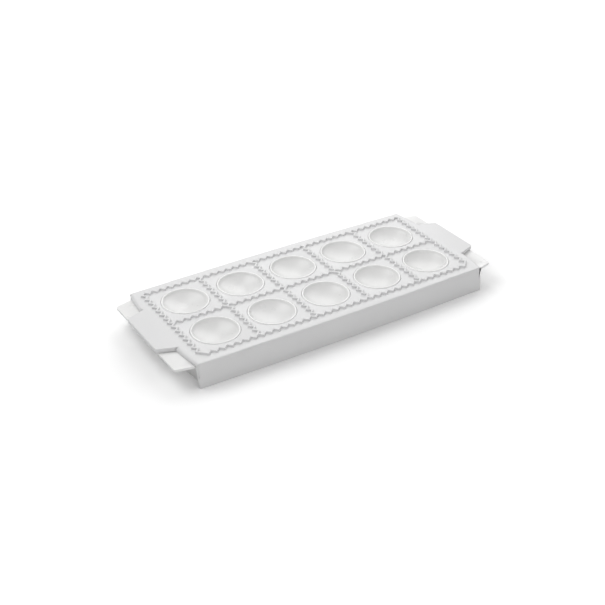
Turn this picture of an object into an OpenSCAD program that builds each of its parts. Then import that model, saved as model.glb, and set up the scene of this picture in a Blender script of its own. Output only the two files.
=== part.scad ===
// Ravioli mould with ten round pockets, in two loose plastic mouldings.
// A tray with ten lipped cups stands under a cutting frame, and the cups show
// through the round holes of the frame. Zigzag ridges on the frame's deck cut
// the dough between the pockets. The origin is on the floor, under the middle.

/* [Pocket grid] */
// Pockets along the mould
pocket_columns = 5; // [2:1:8]
// Pockets across the mould
pocket_rows = 2; // [1:1:4]
// Distance between the centres of neighbouring pockets
pocket_pitch = 45; // [43:0.5:60]

/* [Cutting ridges] */
// Half teeth of the zigzag along one pocket
half_teeth = 15; // [9:1:21]
// Thickness of the ridge, measured across its line; its faces stand at 45 degrees
ridge_t = 2.1; // [1.2:0.1:2.8]
// Height of the ridge above the deck
ridge_h = 1.6; // [0.6:0.1:3]

/* [Cutting frame] */
// Height of the deck above the floor
deck_h = 19; // [17:0.5:26]
// Thickness of the deck
deck_t = 2.8; // [2.6:0.1:3.5]
// Deck beyond the outer ridges, in the middle of the ends
end_border = 11.1; // [9:0.1:15]
// Deck beyond the outer ridges, in the middle of the long sides
side_border = 9.2; // [7:0.1:12]
// How far the ends bow out between the corners
end_bow = 4; // [1:0.1:5]
// How far the long sides bow out between the corners
side_bow = 1.5; // [0.5:0.1:3]
// Radius of the upright corners at the top of the deck
corner_r = 2.5; // [2.2:0.1:6]
// Draft angle of the walls, which widen towards the floor
draft = 4.8; // [1:0.1:6]
// Thickness of the side walls
wall_t = 2; // [1.4:0.1:2.6]
// Rounding along the outer edges of the deck and of the tray's plate
edge_r = 0.8; // [0.4:0.1:1.2]
// Rounding across the deck's two ends
end_r = 2.5; // [1.3:0.1:2.5]
// How far the corners reach in front of each end, past the inside of the side walls
corner_return = 0.9; // [0.5:0.1:4]
// The same at the floor
foot_return = 0.3; // [0.3:0.1:4]

/* [Frame tabs] */
// How far a tab reaches past the deck
frame_tab_reach = 11.4; // [8:0.1:20]
// Width of a tab at its outer edge
frame_tab_w = 45; // [30:0.5:60]
// Width that a tab loses on each side for 1 mm outwards
frame_tab_flare = 0.36; // [0:0.02:0.5]
// Radius of a tab's outer corners
frame_tab_r = 1.8; // [0.5:0.1:5]

/* [Cup tray] */
// Gap between the deck's underside and the tray's plate
plate_gap = 0.4; // [0.3:0.1:1.5]
// Thickness of the tray's plate
plate_t = 1.8; // [1.4:0.1:2.5]
// Thickness of the skirt
skirt_t = 1.6; // [1.2:0.1:2.5]
// Gap between the skirt and the side walls of the frame
skirt_gap = 0.5; // [0.3:0.1:1.2]
// How far the skirt's ends stand behind the ends of the frame
skirt_setback = 3.3; // [1:0.1:5]
// How much more the tray's corners are rounded than a corner at the same gap all round
corner_play = 2.5; // [2:0.1:5]

/* [Tray tabs] */
// How far a tab reaches past the frame's deck
tray_tab_reach = 9.7; // [6:0.1:18]
// Gap between a tab and each side of the frame's end opening, at the skirt
tray_tab_gap = 0.5; // [0.3:0.1:5]
// Width that a tab loses on each side for 1 mm outwards
tray_tab_flare = 0.23; // [0:0.01:0.3]
// Radius of a tab's outer corners
tray_tab_r = 2.2; // [0.5:0.1:6]

/* [Cups] */
// Outside radius of a cup's collar
cup_r = 17.4; // [15:0.1:17.6]
// Gap between a collar and the hole round it
cup_gap = 0.3; // [0.2:0.1:0.6]
// Width of the rounded lip, and thickness of the collar
lip_w = 1.3; // [1:0.1:2]
// Height of the lip above the deck
lip_rise = 0.5; // [0:0.1:1.2]
// Height of the upright wall inside the lip, above the bowl
rim_wall = 0.4; // [0.2:0.1:1.5]
// Depth of the bowl below the middle of its lip
bowl_depth = 6; // [4:0.1:8]
// Thickness of the bowl
bowl_t = 1.5; // [1:0.1:2]

/* [Hidden] */
$fn = 96;
section_fn = $fn;
// Overlap that makes two solids of one moulding one body
fuse = 0.4;
// Reach of a cutter past the surface that it cuts
past = 1;
// How far a rounding bulges past the side that it takes over from
bulge = 0.005;
// How far an upright corner bulges past the bowed sides that it joins
corner_bulge = 0.03;
// How far the upright ends stand past the deck's outline at its top
end_lead = 0.15;
// Steps shown along half of a bowed side
bow_steps = 6;

// Sideways growth of a drafted wall for each millimetre down
slope = tan(draft);
grid_l = pocket_columns * pocket_pitch;
grid_w = pocket_rows * pocket_pitch;
// Length of half a tooth along the ridge; a tooth is a right angle
half_tooth = pocket_pitch / half_teeth;
tooth_peak = half_tooth / 2;
// Reach of the ridge's sides from its middle line, along and across it
reach = ridge_t / 2;

// Half sizes of the deck's outline at its top, in the middle of its sides
deck_x = grid_l / 2 + end_border;
deck_y = grid_w / 2 + side_border;
deck_under = deck_h - deck_t;
// Axes of the upright corners
core_x = deck_x - end_bow - corner_r;
core_y = deck_y - side_bow - corner_r;
hole_r = cup_r + cup_gap;

plate_top = deck_under - plate_gap;
plate_under = plate_top - plate_t;
// Distance from the corner axes to the outside of the frame and of the skirt, at the floor
frame_foot_r = corner_r + deck_h * slope;
skirt_foot_r = frame_foot_r - wall_t - skirt_gap + corner_play;
skirt_core_x = core_x - skirt_setback - corner_play;
skirt_core_y = core_y - corner_play;
// Place of the skirt's ends at the floor
skirt_x = skirt_core_x + end_bow + skirt_foot_r;
// Axis of the rounding across the deck's end, seen from the corner axes
end_round_x = corner_r + end_lead - end_r;
// Half width of the opening in each end, under the deck and at the floor
opening_half_w = core_y + corner_r + deck_t * slope - wall_t - corner_return;
opening_foot_w = core_y + frame_foot_r - wall_t - foot_return;
// The tray's tab runs from the skirt out through that opening and narrows to its tip
tray_tab_tip = deck_x + tray_tab_reach;
tray_tab_w = 2 * (opening_half_w - tray_tab_gap
    - tray_tab_flare * (tray_tab_tip - skirt_x));

lip_r = lip_w / 2;
lip_centre_r = cup_r - lip_r;
rim_h = deck_h + lip_rise - lip_r;
// The bowl is part of a sphere, which meets the collar below its upright wall
bowl_rim_r = cup_r - lip_w;
bowl_rise = bowl_depth - rim_wall;
bowl_sphere_r = (bowl_rim_r * bowl_rim_r + bowl_rise * bowl_rise) / (2 * bowl_rise);
bowl_centre_h = rim_h - bowl_depth + bowl_sphere_r;

// Sign of peak number i of a zigzag
function peak_sign(i) = i % 2 == 0 ? 1 : -1;

// Which way is out of the grid for ridge line j of n
function outward(j, n) = j == 0 ? -1 : j == n ? 1 : 0;

// Peaks of the ridge along X in line j. At a corner of the grid where the last
// peak points outwards, one more peak carries the line round into its neighbour.
function row_peaks(j) =
    let (
        n = pocket_columns * half_teeth,
        out = outward(j, pocket_rows),
        first = peak_sign(j * half_teeth) == out ? -1 : 0,
        last = peak_sign(j * half_teeth + n - 1) == out ? n : n - 1
    )
    [for (k = [first : last]) [
        (k + 0.5) * half_tooth - grid_l / 2,
        j * pocket_pitch - grid_w / 2 + tooth_peak * peak_sign(j * half_teeth + k)
    ]];

// Peaks of the ridge along Y in line i
function column_peaks(i) =
    [for (k = [0 : pocket_rows * half_teeth - 1]) [
        i * pocket_pitch - grid_l / 2 + tooth_peak * peak_sign(i * half_teeth + k),
        (k + 0.5) * half_tooth - grid_w / 2
    ]];

// Outline of a zigzag ridge through its peaks, widened by the vector side
module zigzag(peaks, side) {
    n = len(peaks);
    polygon(concat(
        [for (p = peaks) p + side],
        [for (k = [n - 1 : -1 : 0]) peaks[k] - side]
    ));
    for (p = [peaks[0], peaks[n - 1]])
        translate(p)
            polygon([[reach, 0], [0, reach], [-reach, 0], [0, -reach]]);
}

// Network of ridges between and around the pockets
module ridges() {
    translate([0, 0, deck_h - fuse])
        linear_extrude(ridge_h + fuse) {
            for (j = [0 : pocket_rows])
                zigzag(row_peaks(j), [0, reach]);
            for (i = [0 : pocket_columns])
                zigzag(column_peaks(i), [reach, 0]);
        }
}

module at_pockets() {
    for (i = [0 : pocket_columns - 1], j = [0 : pocket_rows - 1])
        translate([
            (i + 0.5) * pocket_pitch - grid_l / 2,
            (j + 0.5) * pocket_pitch - grid_w / 2,
            0
        ])
            children();
}

// Sweeps a section along an arc over the Y axis, from -until to until. The arc
// bows out along +X by bow over a chord with half length half.
module sweep_bowed(half, bow, until) {
    arm = (half * half + bow * bow) / (2 * bow);
    angle = asin(until / arm);
    for (m = [0, 1])
        mirror([0, m, 0]) translate([bow - arm, 0, 0])
            rotate_extrude(angle = angle, $fn = 360 * bow_steps / angle)
                translate([arm, 0]) children();
}

// Block round the corner axes at x and y, from the height low to the height
// high. The first section turns round the axes, the second follows the sides.
module bowed_block(x, y, low, high) {
    translate([-x, -y, low])
        cube([2 * x, 2 * y, high - low]);
    for (mx = [0, 1], my = [0, 1])
        mirror([mx, 0, 0]) mirror([0, my, 0])
            translate([x, y, 0]) rotate_extrude() children(0);
    for (m = [0, 1]) {
        mirror([m, 0, 0]) translate([x, 0, 0])
            sweep_bowed(y, end_bow, y) children(1);
        mirror([0, m, 0]) translate([0, y, 0]) rotate([0, 0, 90])
            sweep_bowed(x, side_bow, x) children(1);
    }
}

// Section of a drafted side with a rounded upper edge, from inside outwards:
// foot is the side's place at the floor
module side_section(inside, foot, top, r) {
    // Centre of the rounding, and its distance from the drafted side
    side = r - bulge;
    cx = foot - (top - r) * slope - side / cos(draft);
    cz = top - r;
    polygon([
        [inside, 0], [foot, 0],
        [cx + side * cos(draft), cz + side * sin(draft)],
        [cx, cz], [cx, top], [inside, top]
    ]);
    translate([cx, cz]) circle(r, $fn = section_fn);
}

// Section of the hollow in a block: foot is its side's place at the floor
module hollow_section(inside, foot, top) {
    polygon([
        [inside, -past], [foot + past * slope, -past],
        [foot - top * slope, top], [inside, top]
    ]);
}

// Shell with drafted walls under a plate, which reaches from under to top
module shell(x, y, foot, top, under, wall) {
    inside = -end_bow - side_bow - past;
    difference() {
        bowed_block(x, y, 0, top) {
            side_section(0, foot + corner_bulge, top, edge_r);
            side_section(inside, foot, top, edge_r);
        }
        bowed_block(x, y, -past, under) {
            hollow_section(0, foot - wall + corner_bulge, under);
            hollow_section(inside, foot - wall, under);
        }
    }
}

// Tab along +X with rounded outer corners. It is straight from root, inside the
// moulding, to neck, and narrows from there to its width w at the tip.
module tab_outline(root, neck, tip, w, flare, r) {
    angle = atan(flare);
    // Centre of the upper corner's circle, and its distance from the tab's side
    side = r - bulge;
    cy = w / 2 + r * flare - side / cos(angle);
    neck_y = w / 2 + (tip - neck) * flare;
    touch_x = tip - r + side * sin(angle);
    touch_y = cy + side * cos(angle);
    polygon([
        [root, -neck_y], [neck, -neck_y], [touch_x, -touch_y], [tip - r, -cy],
        [tip, -cy], [tip, cy], [tip - r, cy], [touch_x, touch_y],
        [neck, neck_y], [root, neck_y]
    ]);
    for (s = [1, -1])
        translate([tip - r, s * cy]) circle(r);
}

module end_tabs(root, neck, tip, w, flare, r, top, t) {
    for (m = [0, 1])
        mirror([m, 0, 0]) translate([0, 0, top - t])
            linear_extrude(t) tab_outline(root, neck, tip, w, flare, r);
}

module cutting_frame() {
    color("gainsboro") {
        difference() {
            shell(core_x, core_y, frame_foot_r, deck_h, deck_under, wall_t);
            end_roundings();
            end_openings();
            at_pockets()
                translate([0, 0, deck_under - past])
                    cylinder(h = deck_t + 2 * past, r = hole_r);
        }
        ridges();
        end_tabs(core_x - past, core_x, deck_x + frame_tab_reach,
            frame_tab_w, frame_tab_flare, frame_tab_r, deck_h, deck_t);
    }
}

// Cutters that make both ends upright and round the deck over them
module end_roundings() {
    far = frame_foot_r + past;
    face = end_r - bulge;
    for (m = [0, 1])
        mirror([m, 0, 0]) translate([core_x, 0, 0])
            sweep_bowed(core_y, end_bow, deck_y + 2 * past)
                translate([end_round_x, deck_h - end_r])
                    difference() {
                        polygon([
                            [0, 0], [face, 0], [face, -deck_h],
                            [far, -deck_h], [far, far], [0, far]
                        ]);
                        circle(end_r, $fn = section_fn);
                    }
}

// Cutters that open both ends below the deck
module end_openings() {
    for (m = [0, 1])
        mirror([m, 0, 0]) translate([core_x, 0, 0])
            rotate([90, 0, 90])
                linear_extrude(end_bow + frame_foot_r + past)
                    polygon([
                        [-opening_foot_w, -past], [opening_foot_w, -past],
                        [opening_foot_w, 0], [opening_half_w, deck_under],
                        [-opening_half_w, deck_under], [-opening_foot_w, 0]
                    ]);
}

module cup_tray() {
    color("white") {
        difference() {
            shell(skirt_core_x, skirt_core_y, skirt_foot_r, plate_top, plate_under,
                skirt_t);
            at_pockets()
                translate([0, 0, plate_under - past])
                    cylinder(h = plate_t + 2 * past, r = lip_centre_r);
        }
        at_pockets()
            rotate_extrude() cup_section();
        end_tabs(skirt_core_x, skirt_x, tray_tab_tip,
            tray_tab_w, tray_tab_flare, tray_tab_r, plate_top, plate_t);
    }
}

// Half section of a cup: a collar with a rounded lip, and a bowl inside it
module cup_section() {
    translate([bowl_rim_r, plate_under])
        square([lip_w, rim_h - plate_under]);
    translate([lip_centre_r, rim_h])
        circle(lip_r);
    intersection() {
        translate([0, bowl_centre_h])
            difference() {
                circle(bowl_sphere_r + bowl_t);
                circle(bowl_sphere_r);
            }
        square([lip_centre_r, rim_h]);
    }
}

cutting_frame();
cup_tray();
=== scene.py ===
"""Ravioli mould on a pale floor: a tray of lipped cups under a cutting frame with zigzag ridges.

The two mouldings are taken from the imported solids, merged, and finished with softened edges
and moulded plastic. Everything is in metres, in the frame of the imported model.
"""

import math

import bmesh
import bpy
from mathutils import Matrix, Vector


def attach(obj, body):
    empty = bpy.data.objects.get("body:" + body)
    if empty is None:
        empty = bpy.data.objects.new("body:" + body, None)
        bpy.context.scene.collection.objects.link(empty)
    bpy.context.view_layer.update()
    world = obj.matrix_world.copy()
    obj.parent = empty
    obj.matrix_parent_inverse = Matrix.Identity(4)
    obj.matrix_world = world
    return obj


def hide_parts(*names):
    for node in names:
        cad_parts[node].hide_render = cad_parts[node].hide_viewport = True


bl_info = {
    "name": "Ravioli mould",
    "version": (1, 0, 0),
    "blender": (4, 5, 0),
    "location": "View3D > Sidebar > Ravioli mould",
    "description": "Cup tray and cutting frame of a ravioli mould, with floor, light and camera",
    "category": "Object",
}

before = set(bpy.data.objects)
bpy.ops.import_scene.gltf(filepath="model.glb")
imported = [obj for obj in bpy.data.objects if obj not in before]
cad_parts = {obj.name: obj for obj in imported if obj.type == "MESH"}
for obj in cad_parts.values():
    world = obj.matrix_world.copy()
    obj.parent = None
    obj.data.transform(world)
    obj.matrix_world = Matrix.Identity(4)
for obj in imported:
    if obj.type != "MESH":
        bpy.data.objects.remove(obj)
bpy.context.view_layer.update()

# The photograph's camera; its bearing is 0 in front of the mould and 90 degrees on its right
CAMERA_BEARING = math.radians(-32.108)
CAMERA_HEIGHT = math.radians(31.616)
CAMERA_ROLL = math.radians(0.129)
CAMERA_PLACE = Vector((-0.3717, -0.5832, 0.4254))
CAMERA_LENS = 65.02
CAMERA_SENSOR = 36
CAMERA_CLIP = (0.01, 50)

# How near corners are to be one, and how flat an edge is to go
MERGE_DISTANCE = 2e-6
FLAT_ANGLE = math.radians(0.4)

# Ten cups in two rows, and the rings round each one's axis
CUP_PITCH = 0.045
CUP_COLUMNS = 5
BOWL_RADIUS = 0.0159
LIP_RADIUS = 0.0176
LIP_FOOT = 0.0187
RIM_RING = (0.0158, 0.0182)
# Painted shade in the bowls, as a factor on the tray's colour
BOWL_PAINTED_SHADE = 0.89
# Painted highlight on the lips, as a factor on the tray's colour
LIP_PAINTED_HIGHLIGHT = 1.08

# Roundings: the fold that makes an edge sharp, the height above which it is on a ridge, and the
# angle from which two edges at a corner are one line
SHARP_ANGLE = math.radians(32)
RIDGE_HEIGHT = 0.0201
STRAIGHT_ON = math.radians(145)
# Shares of a crossing edge that a rounding may use: with a sharp edge at its far end, and without
SHARED_PART = 0.42
LONE_PART = 0.8
# The windows' rounding as a share of the general one
WINDOW_SHARE = 0.4
BEVEL_SEGMENTS = 3

# Plastic: noises as features per metre and detail, and what they do
CLOUD_NOISE = (28, 3)
SHEEN_NOISE = (90, 4)
SKIN_NOISE = (1800, 2)
NOISE_MIDDLE = (0.3, 0.7)
SHEEN_SPREAD = (-0.04, 0.05)
SKIN_DEPTH = 0.00002
PLASTIC_IOR = 1.49

# Lamps: name, bearing and height in degrees, size, and the setting that holds the power
LAMP_DISTANCE = 0.9
SOFTBOXES = (
    ("Back left softbox", 225, 55, 0.6, "left_power"),
    ("Back right softbox", 135, 39, 0.75, "right_power"),
    ("Front softbox", 0, 25, 0.6, "front_power"),
)

# What the camera sees behind everything
WHITE = (1, 1, 1, 1)
BACKGROUND_STRENGTH = 1.0

# Floor: its painted glow grows over a reach from the middle, in which the mould's length counts
# less
FLOOR_HALF_WIDTH = 6
FLOOR_ROUGHNESS = 0.9
FLOOR_STRETCH = (0.45, 1, 0)
GLOW_REACH = (0.055, 0.25)
GLOW_STRENGTH = (0.02, 0.65)


# Meshes


def merged_solid(node):
    """Copy of a node's loose triangles as one closed shell, with its flat faces in one piece."""
    shell = bmesh.new()
    shell.from_mesh(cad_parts[node].data)
    bmesh.ops.remove_doubles(shell, verts=shell.verts, dist=MERGE_DISTANCE)
    bmesh.ops.dissolve_degenerate(shell, dist=MERGE_DISTANCE, edges=shell.edges)
    bmesh.ops.dissolve_limit(
        shell,
        angle_limit=FLAT_ANGLE,
        verts=shell.verts,
        edges=shell.edges,
        delimit={"NORMAL"},
    )
    return shell


def from_cup(place):
    """Distance of a point from the axis of the cup that it is nearest to."""
    most = (CUP_COLUMNS - 1) // 2
    column = max(-most, min(most, round(place.x / CUP_PITCH)))
    row = math.copysign(0.5, place.y)
    return math.hypot(place.x - column * CUP_PITCH, place.y - row * CUP_PITCH)


def paint_shade_and_highlight(shell, cups):
    """Sets how light the plastic looks: painted shade darkens the bowls and a painted highlight
    lightens their lips.
    """
    tone = shell.verts.layers.float.new("tone")
    for corner in shell.verts:
        reach = from_cup(corner.co)
        corner[tone] = 1
        if cups and reach < BOWL_RADIUS:
            # Painted shade inside the bowls
            corner[tone] = BOWL_PAINTED_SHADE
        elif cups and reach < LIP_RADIUS and corner.co.z > LIP_FOOT:
            # Painted highlight on the lips
            corner[tone] = LIP_PAINTED_HIGHLIGHT


def leaves_line(edge, other, corner):
    """Whether another edge at a corner runs across this one and isn't its continuation."""
    here = edge.other_vert(corner).co - corner.co
    there = other.other_vert(corner).co - corner.co
    return here.angle(there, 0) < STRAIGHT_ON


def mark_edges(shell, plain, ridge, rim):
    """Gives each sharp edge its own rounding: fullest on the ridges, least beside short edges."""
    share = shell.edges.layers.float.new("bevel_weight_edge")
    sharp = [
        edge
        for edge in shell.edges
        if len(edge.link_faces) == 2 and edge.calc_face_angle(0) > SHARP_ANGLE
    ]
    corners = {corner for edge in sharp for corner in edge.verts}
    for edge in sharp:
        on_ridge = max(corner.co.z for corner in edge.verts) > RIDGE_HEIGHT
        on_rim = all(RIM_RING[0] < from_cup(corner.co) < RIM_RING[1] for corner in edge.verts)
        room = rim if on_rim else ridge if on_ridge else plain
        for corner in edge.verts:
            for other in corner.link_edges:
                if other == edge or not leaves_line(edge, other, corner):
                    continue
                part = SHARED_PART if other.other_vert(corner) in corners else LONE_PART
                room = min(room, part * other.calc_length())
        edge[share] = room / ridge


def add_piece(shell, name, node, finish, settings):
    """Adds a finished moulding that stands for its node and rides with it."""
    mesh = bpy.data.meshes.new(name)
    has_cups = node == "cup_tray"
    window_edge = 0 if has_cups else WINDOW_SHARE * settings.edge_radius
    # Painted shade in the bowls and painted highlight on the lips
    paint_shade_and_highlight(shell, has_cups)
    mark_edges(shell, settings.edge_radius, settings.ridge_radius, window_edge)
    for face in shell.faces:
        face.smooth = True
    shell.to_mesh(mesh)
    shell.free()
    mesh.materials.append(finish)
    piece = bpy.data.objects.new(name, mesh)
    bpy.context.scene.collection.objects.link(piece)
    edges = piece.modifiers.new("Softened edges", "BEVEL")
    edges.width = settings.ridge_radius
    edges.segments = BEVEL_SEGMENTS
    edges.limit_method = "WEIGHT"
    edges.harden_normals = True
    edges.use_clamp_overlap = False
    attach(piece, "root")
    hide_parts(node)


# Finishes


def link(tree, source, output, target, socket):
    """Joins two nodes, by the names or numbers of their sockets."""
    tree.links.new(source.outputs[output], target.inputs[socket])


def new_finish(name):
    """New material, with its node tree and its surface node."""
    finish = bpy.data.materials.new(name)
    finish.use_nodes = True
    return finish, finish.node_tree, finish.node_tree.nodes["Principled BSDF"]


def noise(tree, place, scale, detail):
    """Noise on the moulding's own coordinates, scale in features per metre."""
    node = tree.nodes.new("ShaderNodeTexNoise")
    node.inputs["Scale"].default_value = scale
    node.inputs["Detail"].default_value = detail
    link(tree, place, "Object", node, "Vector")
    return node


def map_range(tree, source, output, taken, given):
    """Maps a value from the range it is taken in to the one it is given in."""
    node = tree.nodes.new("ShaderNodeMapRange")
    for end, before, after in zip(("Min", "Max"), taken, given):
        node.inputs["From " + end].default_value = before
        node.inputs["To " + end].default_value = after
    link(tree, source, output, node, "Value")
    return node


def mix_colours(tree, source, output, first, second):
    """Goes from the first colour to the second as a value goes from 0 to 1."""
    node = tree.nodes.new("ShaderNodeMix")
    node.data_type = "RGBA"
    node.inputs["A"].default_value = first
    node.inputs["B"].default_value = second
    link(tree, source, output, node, "Factor")
    return node


def vector_step(tree, operation, source, output):
    """One vector operation on another node's output."""
    node = tree.nodes.new("ShaderNodeVectorMath")
    node.operation = operation
    link(tree, source, output, node, 0)
    return node


def moulded_plastic(name, colour, tint, gloss, grain):
    """Moulded plastic with flow clouds in a tint, an uneven sheen and a fine skin texture."""
    finish, tree, surface = new_finish(name)
    place = tree.nodes.new("ShaderNodeTexCoord")

    clouds = map_range(tree, noise(tree, place, *CLOUD_NOISE), "Fac", NOISE_MIDDLE, (0, 1))
    tinted = (*(part * share for part, share in zip(colour, tint)), 1)
    hue = mix_colours(tree, clouds, "Result", (*colour, 1), tinted)
    # Painted shade and painted highlight from the corners scale the colour
    tone = tree.nodes.new("ShaderNodeAttribute")
    tone.attribute_name = "tone"
    hue_with_painted_light = vector_step(tree, "SCALE", hue, "Result")
    link(tree, tone, "Fac", hue_with_painted_light, "Scale")
    link(tree, hue_with_painted_light, "Vector", surface, "Base Color")

    roughness = tuple(gloss + change for change in SHEEN_SPREAD)
    sheen = map_range(tree, noise(tree, place, *SHEEN_NOISE), "Fac", NOISE_MIDDLE, roughness)
    link(tree, sheen, "Result", surface, "Roughness")

    relief = tree.nodes.new("ShaderNodeBump")
    relief.inputs["Strength"].default_value = grain
    relief.inputs["Distance"].default_value = SKIN_DEPTH
    link(tree, noise(tree, place, *SKIN_NOISE), "Fac", relief, "Height")
    link(tree, relief, "Normal", surface, "Normal")
    surface.inputs["IOR"].default_value = PLASTIC_IOR
    return finish


# Stage


def towards(bearing, height):
    """Direction from the mould to a bearing, 0 in front of it and 90 degrees on its right."""
    return Vector(
        (
            math.sin(bearing) * math.cos(height),
            -math.cos(bearing) * math.cos(height),
            math.sin(height),
        )
    )


def place_camera():
    """Camera at the photograph's angle."""
    back = towards(CAMERA_BEARING, CAMERA_HEIGHT)
    right = Vector((math.cos(CAMERA_BEARING), math.sin(CAMERA_BEARING), 0))
    up = back.cross(right)
    turn = Matrix((right, up, back)).transposed()
    camera = bpy.data.objects.new("Camera", bpy.data.cameras.new("Camera"))
    camera.data.lens = CAMERA_LENS
    camera.data.sensor_width = CAMERA_SENSOR
    camera.data.clip_start, camera.data.clip_end = CAMERA_CLIP
    camera.rotation_mode = "QUATERNION"
    camera.rotation_quaternion = (
        turn @ Matrix.Rotation(-CAMERA_ROLL, 3, "Z")
    ).to_quaternion()
    camera.location = CAMERA_PLACE
    bpy.context.scene.collection.objects.link(camera)
    bpy.context.scene.camera = camera


def add_softbox(name, bearing, height, size, power):
    """Square lamp that looks at the mould, its bearing and height in degrees."""
    lamp = bpy.data.lights.new(name, "AREA")
    lamp.shape = "SQUARE"
    lamp.size = size
    lamp.energy = power
    holder = bpy.data.objects.new(name, lamp)
    out = towards(math.radians(bearing), math.radians(height))
    holder.location = out * LAMP_DISTANCE
    holder.rotation_mode = "QUATERNION"
    holder.rotation_quaternion = out.to_track_quat("Z", "Y")
    bpy.context.scene.collection.objects.link(holder)


def white_background(tree, strength):
    """White background of a strength."""
    node = tree.nodes.new("ShaderNodeBackground")
    node.inputs["Color"].default_value = WHITE
    node.inputs["Strength"].default_value = strength
    return node


def light_room(ambient):
    """Even light from all round, behind which only the camera sees plain white."""
    world = bpy.data.worlds.new("Room")
    world.use_nodes = True
    bpy.context.scene.world = world
    tree = world.node_tree
    tree.nodes.clear()
    ray = tree.nodes.new("ShaderNodeLightPath")
    choice = tree.nodes.new("ShaderNodeMixShader")
    out = tree.nodes.new("ShaderNodeOutputWorld")
    link(tree, ray, "Is Camera Ray", choice, "Fac")
    link(tree, white_background(tree, ambient), 0, choice, 1)
    link(tree, white_background(tree, BACKGROUND_STRENGTH), 0, choice, 2)
    link(tree, choice, 0, out, "Surface")


def floor_finish(brightness):
    """Grey floor for the mould, that the camera sees as white with a painted glow, faint next to
    the mould and growing away from it.
    """
    finish, tree, surface = new_finish("Pale floor")
    surface.inputs["Roughness"].default_value = FLOOR_ROUGHNESS
    surface.inputs["Specular IOR Level"].default_value = 0
    surface.inputs["Emission Color"].default_value = WHITE
    ray = tree.nodes.new("ShaderNodeLightPath")
    grey = (brightness, brightness, brightness, 1)
    hue = mix_colours(tree, ray, "Is Camera Ray", grey, WHITE)
    link(tree, hue, "Result", surface, "Base Color")

    place = tree.nodes.new("ShaderNodeTexCoord")
    across = vector_step(tree, "MULTIPLY", place, "Object")
    across.inputs[1].default_value = FLOOR_STRETCH
    reach = vector_step(tree, "LENGTH", across, "Vector")
    # Painted glow for the camera only, faint beside the mould so the floor round it stays darker
    glow = map_range(tree, reach, "Value", GLOW_REACH, GLOW_STRENGTH)
    seen = tree.nodes.new("ShaderNodeMath")
    seen.operation = "MULTIPLY"
    link(tree, glow, "Result", seen, 0)
    link(tree, ray, "Is Camera Ray", seen, 1)
    link(tree, seen, "Value", surface, "Emission Strength")
    return finish


def add_floor(brightness):
    """Flat floor at the mould's feet."""
    ground = bmesh.new()
    bmesh.ops.create_grid(ground, x_segments=1, y_segments=1, size=FLOOR_HALF_WIDTH)
    mesh = bpy.data.meshes.new("Floor")
    ground.to_mesh(mesh)
    ground.free()
    mesh.materials.append(floor_finish(brightness))
    floor = bpy.data.objects.new("Floor", mesh)
    bpy.context.scene.collection.objects.link(floor)


# Settings


class MouldSettings(bpy.types.PropertyGroup):
    """Colours and edges of the two mouldings"""

    frame_colour: bpy.props.FloatVectorProperty(
        name="Frame colour",
        description="Colour of the cutting frame's plastic",
        default=(0.78, 0.78, 0.78),
        subtype="COLOR",
        min=0,
        max=1,
    )
    tray_colour: bpy.props.FloatVectorProperty(
        name="Tray colour",
        description="Colour of the cup tray's plastic",
        default=(0.90, 0.90, 0.895),
        subtype="COLOR",
        min=0,
        max=1,
    )
    edge_radius: bpy.props.FloatProperty(
        name="Edge softening",
        description="Width of the rounding that the mould leaves on sharp edges",
        default=0.00025,
        min=0.00005,
        max=0.0006,
        unit="LENGTH",
        precision=5,
    )
    ridge_radius: bpy.props.FloatProperty(
        name="Ridge softening",
        description="Width of the rounding on the zigzag ridges' tops and teeth",
        default=0.0005,
        min=0.0003,
        max=0.0007,
        unit="LENGTH",
        precision=5,
    )


class StudioSettings(bpy.types.PropertyGroup):
    """Light and floor of the stage"""

    left_power: bpy.props.FloatProperty(
        name="Back left light",
        description="Power of the lamp high behind the mould, on its left",
        default=3.35,
        min=0,
        unit="POWER",
    )
    right_power: bpy.props.FloatProperty(
        name="Back right light",
        description="Power of the lamp behind the mould, on its right",
        default=3.4,
        min=0,
        unit="POWER",
    )
    front_power: bpy.props.FloatProperty(
        name="Front light",
        description="Power of the low lamp in front of the mould",
        default=1.4,
        min=0,
        unit="POWER",
    )
    ambient: bpy.props.FloatProperty(
        name="Room light",
        description="Strength of the even light from all round",
        default=0.39,
        min=0,
        max=1,
        subtype="FACTOR",
    )
    floor_colour: bpy.props.FloatProperty(
        name="Floor brightness",
        description="Brightness of the floor as the mould sees it",
        default=0.8,
        min=0,
        max=1,
        subtype="FACTOR",
    )


# Operators


class MOULD_OT_cup_tray(bpy.types.Operator):
    """Make the tray with its lipped cups, skirt and tabs"""

    bl_idname = "mould.cup_tray"
    bl_label = "Make cup tray"

    def execute(self, context):
        settings = context.scene.mould_settings
        finish = moulded_plastic(
            "Glossy white plastic",
            settings.tray_colour,
            tint=(0.985, 0.985, 0.98),
            gloss=0.3,
            grain=0.25,
        )
        add_piece(
            merged_solid("cup_tray"),
            "cup_tray_moulding",
            "cup_tray",
            finish,
            settings,
        )
        return {"FINISHED"}


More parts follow.
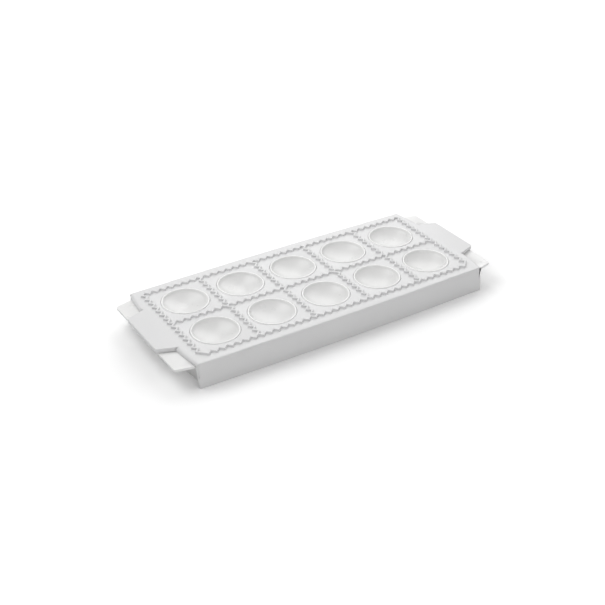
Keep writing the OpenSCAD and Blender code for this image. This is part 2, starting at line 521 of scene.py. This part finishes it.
class MOULD_OT_cutting_frame(bpy.types.Operator):
    """Make the frame with its deck, walls, tabs and zigzag ridges"""

    bl_idname = "mould.cutting_frame"
    bl_label = "Make cutting frame"

    def execute(self, context):
        settings = context.scene.mould_settings
        finish = moulded_plastic(
            "Satin grey white plastic",
            settings.frame_colour,
            tint=(0.98, 0.98, 0.985),
            gloss=0.45,
            grain=0.4,
        )
        add_piece(
            merged_solid("cutting_frame"),
            "cutting_frame_moulding",
            "cutting_frame",
            finish,
            settings,
        )
        return {"FINISHED"}


class MOULD_OT_stage(bpy.types.Operator):
    """Make the floor, the lamps and the camera"""

    bl_idname = "mould.stage"
    bl_label = "Make stage"

    def execute(self, context):
        scene, studio = context.scene, context.scene.studio_settings
        scene.view_settings.view_transform = "Standard"
        add_floor(studio.floor_colour)
        for name, bearing, height, size, power in SOFTBOXES:
            add_softbox(name, bearing, height, size, getattr(studio, power))
        light_room(studio.ambient)
        place_camera()
        return {"FINISHED"}


class MOULD_PT_panel(bpy.types.Panel):
    """Settings and steps of the ravioli mould"""

    bl_idname = "MOULD_PT_panel"
    bl_label = "Ravioli mould"
    bl_space_type = "VIEW_3D"
    bl_region_type = "UI"
    bl_category = "Ravioli mould"

    def draw(self, context):
        layout = self.layout
        settings, studio = context.scene.mould_settings, context.scene.studio_settings
        for name in ("frame_colour", "tray_colour", "edge_radius", "ridge_radius"):
            layout.prop(settings, name)
        layout.operator(MOULD_OT_cup_tray.bl_idname)
        layout.operator(MOULD_OT_cutting_frame.bl_idname)
        layout.separator()
        for name in ("left_power", "right_power", "front_power", "ambient", "floor_colour"):
            layout.prop(studio, name)
        layout.operator(MOULD_OT_stage.bl_idname)


CLASSES = (
    MouldSettings,
    StudioSettings,
    MOULD_OT_cup_tray,
    MOULD_OT_cutting_frame,
    MOULD_OT_stage,
    MOULD_PT_panel,
)


def register():
    for cls in CLASSES:
        bpy.utils.register_class(cls)
    bpy.types.Scene.mould_settings = bpy.props.PointerProperty(type=MouldSettings)
    bpy.types.Scene.studio_settings = bpy.props.PointerProperty(type=StudioSettings)


def unregister():
    del bpy.types.Scene.studio_settings
    del bpy.types.Scene.mould_settings
    for cls in reversed(CLASSES):
        bpy.utils.unregister_class(cls)


def main():
    register()
    bpy.ops.mould.stage()
    bpy.ops.mould.cup_tray()
    bpy.ops.mould.cutting_frame()


if __name__ == "__main__":
    main()
